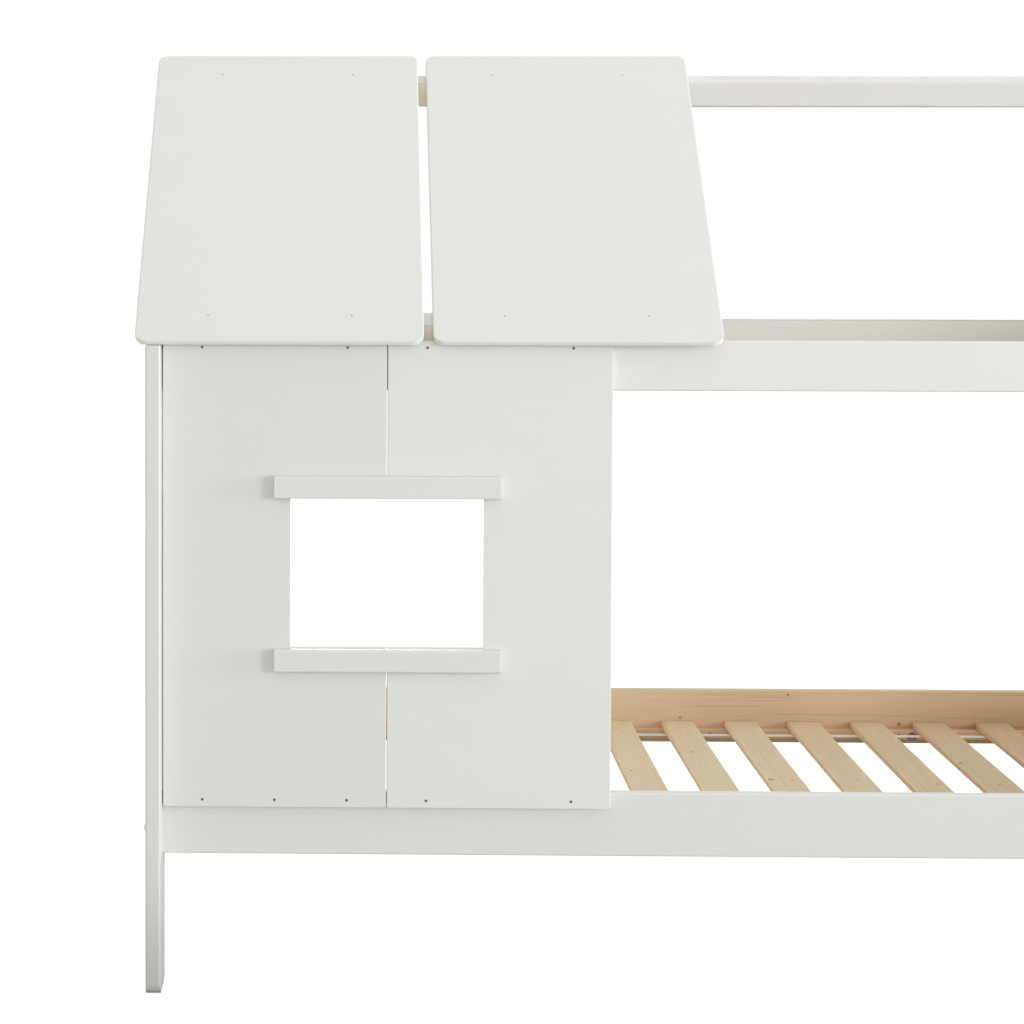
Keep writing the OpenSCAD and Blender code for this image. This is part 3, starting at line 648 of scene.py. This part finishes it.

# Slats. Fourteen planed pine boards across the bed, each cut from another place of the log, so that
# each has its own rings, tone and knots; the ones towards the right end are painted darker and warmer as
# painted shade. Their sides are painted lighter and warmer, and their rear ends a little paler, as painted
# light.
SLAT_EARLY = (0.698, 0.596, 0.404)
SLAT_LATE = (0.617, 0.452, 0.282)
SLAT_SIDE_LIGHT = (1.28, 1.17, 1.13)
SLAT_REAR_LIGHT = (1.08, 1.08, 1.08)
REAR_LIGHT_BAND = (0.15, 0.42)
SLAT_TONES_AND_SHADES = (0.97, 0.93, 1.0, 0.95, 0.99, 0.96, 1.0, 0.98, 0.96, 0.92, 0.875, 0.81, 0.77, 0.83)
WARMER_AFTER = 9
WARMER = 0.022
PITH_ASIDE = 0.03
PITH_BELOW = 0.03
PITH_DEEPER = 0.02
PITH_TURNS = (2.3, 1.7)
SLAT_KNOTS = {
    7: [(0.435, 0.017, 0.003)],
    8: [(0.760, 0.035, 0.002), (0.601, 0.026, 0.004)],
    9: [(0.368, 0.008, 0.006), (0.365, 0.049, 0.003)],
    10: [(0.370, 0.038, 0.003)],
    11: [(0.762, 0.053, 0.003), (0.340, 0.053, 0.004)],
    12: [(0.518, 0.006, 0.005), (0.339, 0.035, 0.004)],
    13: [(0.828, 0.050, 0.003)],
}
for number, tone in enumerate(SLAT_TONES_AND_SHADES, 1):
    name = f"slat_{number:02d}"
    low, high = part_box(name)
    marks = [(low.y + along, low.x + across, radius) for along, across, radius in SLAT_KNOTS.get(number, [])]
    pith_x = (low.x + high.x) / 2.0 + PITH_ASIDE * math.sin(PITH_TURNS[0] * number)
    pith_z = low.z - PITH_BELOW - PITH_DEEPER * math.cos(PITH_TURNS[1] * number)
    # Painted shade: from the tenth slat on, each is warmer as well as darker.
    warmth = WARMER * max(0, number - WARMER_AFTER)
    tint = (tone, tone * (1.0 - warmth), tone * (1.0 - 2.0 * warmth))
    early = tuple(share * part for share, part in zip(tint, SLAT_EARLY))
    late = tuple(share * part for share, part in zip(tint, SLAT_LATE))
    slat_pine, tree, shader, pine = bare_pine(
        f"slat_pine_{number:02d}", "YXZ", (0.0, pith_x, pith_z), float(number), early, late, marks
    )
    point = add(tree, "TexCoord")
    # Painted light: the sides are lighter and warmer, and the rear ends paler.
    side = ramp(tree, calc(tree, "ABSOLUTE", axes(tree, point.outputs["Normal"])[0]), 0.5, 0.9)
    rear = ramp(tree, axes(tree, point.outputs["Object"])[1], *REAR_LIGHT_BAND)
    color = tinted(tree, pine["Color"], mix(tree, side, WHITE, SLAT_SIDE_LIGHT))
    color = tinted(tree, color, mix(tree, rear, WHITE, SLAT_REAR_LIGHT))
    surface(tree, shader, color, pine["Roughness"], pine["Height"])
    dress([name], slat_pine)

# Slat ribbons. Two white woven tapes under the slats, stapled to each, that keep them apart.
# Plain weave of flat polyester yarn.
TAPE_WHITE = (0.84, 0.84, 0.82)
WARP_PITCH = 0.0016
WEFT_PITCH = 0.0011
WEAVE_RELIEF = 1.2e-4
YARN_RELIEF = 5.0e-5


def shade(color, share):
    """A colour made darker or lighter by a share."""
    return tuple(share * part for part in color)


ribbon_fabric, tree, shader = finish("ribbon_fabric")
place = add(tree, "TexCoord").outputs["Object"]
along, across = axes(tree, place)[:2]
warp = calc(tree, "SINE", calc(tree, "MULTIPLY", across, 2.0 * math.pi / WARP_PITCH))
weft = calc(tree, "SINE", calc(tree, "MULTIPLY", along, 2.0 * math.pi / WEFT_PITCH))
weave = calc(tree, "MULTIPLY", warp, weft)
yarn = noise(tree, place, (900.0, 900.0, 900.0))
color = mix(tree, ramp(tree, weave, -1.0, 0.4), shade(TAPE_WHITE, 0.82), TAPE_WHITE)
height = calc(tree, "ADD", calc(tree, "MULTIPLY", weave, WEAVE_RELIEF),
              calc(tree, "MULTIPLY", yarn, YARN_RELIEF))
surface(tree, shader, color, ramp(tree, yarn, 0.3, 0.7, 0.8, 0.95), height)
dress(["slat_ribbons"], ribbon_fabric)

# Rail bolt caps. Domed caps of satin white plastic, moulded, with a fine skin.
# They are pressed over the heads of the rail bolts on the legs' outer faces.
CAP_WHITE = (0.80, 0.80, 0.785)
CAP_RELIEF = 6.0e-6
cap_plastic, tree, shader = finish("cap_plastic")
place = add(tree, "TexCoord").outputs["Object"]
specks = noise(tree, place, (1400.0, 1400.0, 1400.0))
cloud = noise(tree, place, (60.0, 60.0, 60.0))
color = mix(tree, cloud, shade(CAP_WHITE, 0.97), CAP_WHITE)
height = calc(tree, "MULTIPLY", specks, CAP_RELIEF)
surface(tree, shader, color, ramp(tree, cloud, 0.3, 0.7, 0.30, 0.42), height)
dress(["rail_bolt_caps"], cap_plastic)

# Bolts and barrel nuts. Zinc-plated steel, turned and dulled by handling. The ridge screws in the
# rafters are plated in the same way.
ZINC = (0.60, 0.61, 0.63)
ZINC_DULL = (0.46, 0.46, 0.46)
TURNED_RELIEF = 4.0e-6
zinc_steel, tree, shader = finish("zinc_steel")
shader.inputs["Metallic"].default_value = 1.0
place = add(tree, "TexCoord").outputs["Object"]
spangle = noise(tree, place, (420.0, 420.0, 420.0), 3.0)
turned = noise(tree, place, (2600.0, 2600.0, 2600.0), 1.0)
color = mix(tree, ramp(tree, spangle, 0.35, 0.65), ZINC_DULL, ZINC)
roughness = ramp(tree, spangle, 0.3, 0.7, 0.48, 0.3)
surface(tree, shader, color, roughness, calc(tree, "MULTIPLY", turned, TURNED_RELIEF))
dress(["rail_bolts", "beam_bolts", "barrel_nuts", "ridge_screws"], zinc_steel)

# Wood screws. Countersunk screws of dark phosphated steel, driven flush. They hold the window trims, the
# cleats and the outer slats.
PHOSPHATE = (0.20, 0.20, 0.195)
CRYSTAL_RELIEF = 8.0e-6
dark_screw, tree, shader = finish("dark_screw")
shader.inputs["Metallic"].default_value = 0.85
place = add(tree, "TexCoord").outputs["Object"]
crystals = noise(tree, place, (1800.0, 1800.0, 1800.0))
color = mix(tree, crystals, shade(PHOSPHATE, 0.7), shade(PHOSPHATE, 1.3))
roughness = ramp(tree, crystals, 0.3, 0.7, 0.42, 0.6)
surface(tree, shader, color, roughness, calc(tree, "MULTIPLY", crystals, CRYSTAL_RELIEF))
dress(["trim_screws", "cleat_screws", "slat_screws"], dark_screw)

# Wall screws. Countersunk steel screws along the upper and lower edges of the wall panels. The wall's
# paint has run over the rims of their heads, so only the middle of each head stays dark: dark steel, made
# darker still as painted shade.
SCREW_DARK_AND_SHADE = (0.10, 0.095, 0.085)
PAINT_START = 0.0018
PAINT_FULL = 0.0030
SCREWS_APART = 0.02


def screw_places(name):
    """The places of a node's screws in X and Z, found from their points."""
    groups = []
    for point in (vertex.co for vertex in nodes[name].data.vertices):
        for group in groups:
            if math.hypot(group[0].x - point.x, group[0].z - point.z) < SCREWS_APART:
                group.append(point)
                break
        else:
            groups.append([point])
    places = []
    for group in groups:
        alongs = [point.x for point in group]
        heights = [point.z for point in group]
        places.append(((min(alongs) + max(alongs)) / 2.0, (min(heights) + max(heights)) / 2.0))
    return places


wall_screw, tree, shader = finish("wall_screw")
place = add(tree, "TexCoord").outputs["Object"]
x, _, z = axes(tree, place)
off_axis = 1.0
for along, height in screw_places("wall_screws"):
    reach = diagonal(tree, calc(tree, "SUBTRACT", x, along), calc(tree, "SUBTRACT", z, height))
    off_axis = calc(tree, "MINIMUM", reach, off_axis)
paint = use(tree, rolled_paint, Place=place, Paint=LEFT_WALL_WHITE, Grain=0.0)
# Partly painted shade: the middle of each head is near black.
painted = ramp(tree, off_axis, PAINT_START, PAINT_FULL)
surface(tree, shader, mix(tree, painted, SCREW_DARK_AND_SHADE, paint["Color"]), paint["Roughness"], paint["Height"])
dress(["wall_screws"], wall_screw)

# Roof screws. Countersunk screws with white-lacquered heads. Their cross recesses stay bare and dark,
# so only a small grey dot shows on the white boards.
RECESS_GREY = (0.20, 0.20, 0.20)
RECESS_BAND = (0.0006, 0.0002)
head_face = max(vertex.co.dot(SLOPE) for vertex in nodes["roof_screws"].data.vertices)
roof_screw, tree, shader = finish("roof_screw")
place = add(tree, "TexCoord").outputs["Object"]
paint = use(tree, rolled_paint, Place=place, Paint=ROOF_WHITE, Grain=0.0)
depth = along_line(tree, place, SLOPE)
recess = ramp(tree, depth, *(head_face - below for below in RECESS_BAND), 1.0, 0.0)
surface(tree, shader, mix(tree, recess, paint["Color"], RECESS_GREY), paint["Roughness"], paint["Height"])
dress(["roof_screws"], roof_screw)

# Dowels. Fluted beech pins in blind holes, glued, between the frame's pieces. Almost nothing of them
# is ever seen.
BEECH = (0.62, 0.42, 0.25)
FLECK_RELIEF = 2.0e-5
beech_dowel, tree, shader = finish("beech_dowel")
place = add(tree, "TexCoord").outputs["Object"]
flecks = noise(tree, place, (300.0, 300.0, 300.0), 3.0)
color = mix(tree, flecks, shade(BEECH, 0.85), shade(BEECH, 1.15))
height = calc(tree, "MULTIPLY", flecks, FLECK_RELIEF)
surface(tree, shader, color, ramp(tree, flecks, 0.3, 0.7, 0.55, 0.7), height)
dress(["side_dowels", "end_dowels", "batten_dowels"], beech_dowel)
